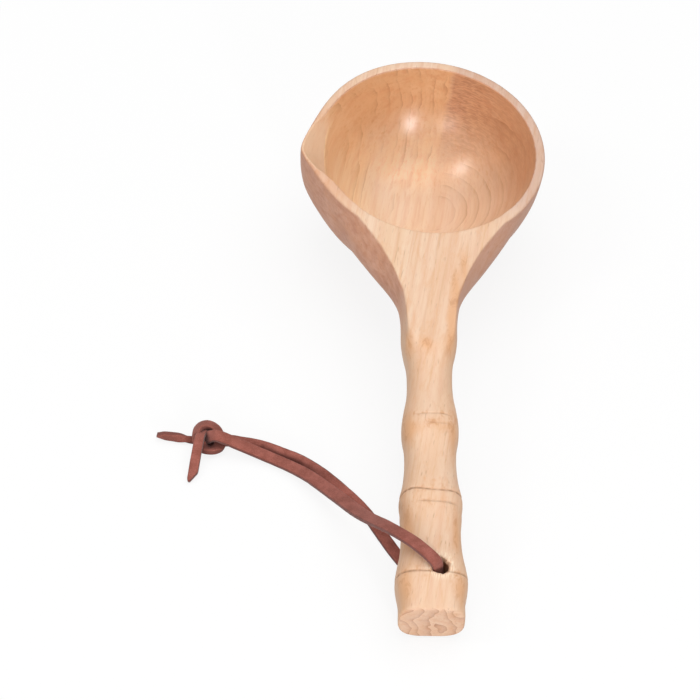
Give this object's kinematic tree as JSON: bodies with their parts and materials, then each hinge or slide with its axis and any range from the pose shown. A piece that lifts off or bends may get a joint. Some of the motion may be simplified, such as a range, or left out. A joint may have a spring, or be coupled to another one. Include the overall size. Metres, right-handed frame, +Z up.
{
  "type": "wooden ladle",
  "caption": "Carved wooden ladle with a deep round bowl, a side pouring lip, a bamboo-shaped handle and a knotted leather hanging thong.",
  "frame": {"origin": "centre of the ladle's footprint, without the thong, on the surface that it lies on", "axes": "+Z up from the table, +Y from the handle's end towards the bowl, the pouring lip towards -X"},
  "size_m": [0.163, 0.2728, 0.0614],
  "materials": {
    "wood": "satin clear lacquer, glossier in the bowl",
    "leather": "matt suede split"
  },
  "bodies": {
    "ladle": {"ladle_body": "wood"},
    "lanyard": {"thong_bore": "leather", "thong_upper_strand": "leather", "thong_lower_strand": "leather", "thong_knot": "leather", "thong_tail_left": "leather", "thong_tail_down": "leather"}
  },
  "joints": [
    {"name": "lanyard_swing", "type": "hinge", "parent": "ladle", "child": "lanyard", "pos_m": [0.0054, -0.11625, 0.015], "axis": [0, -0.1346, 0.9909], "range_deg": [-12, 285]}
  ]
}
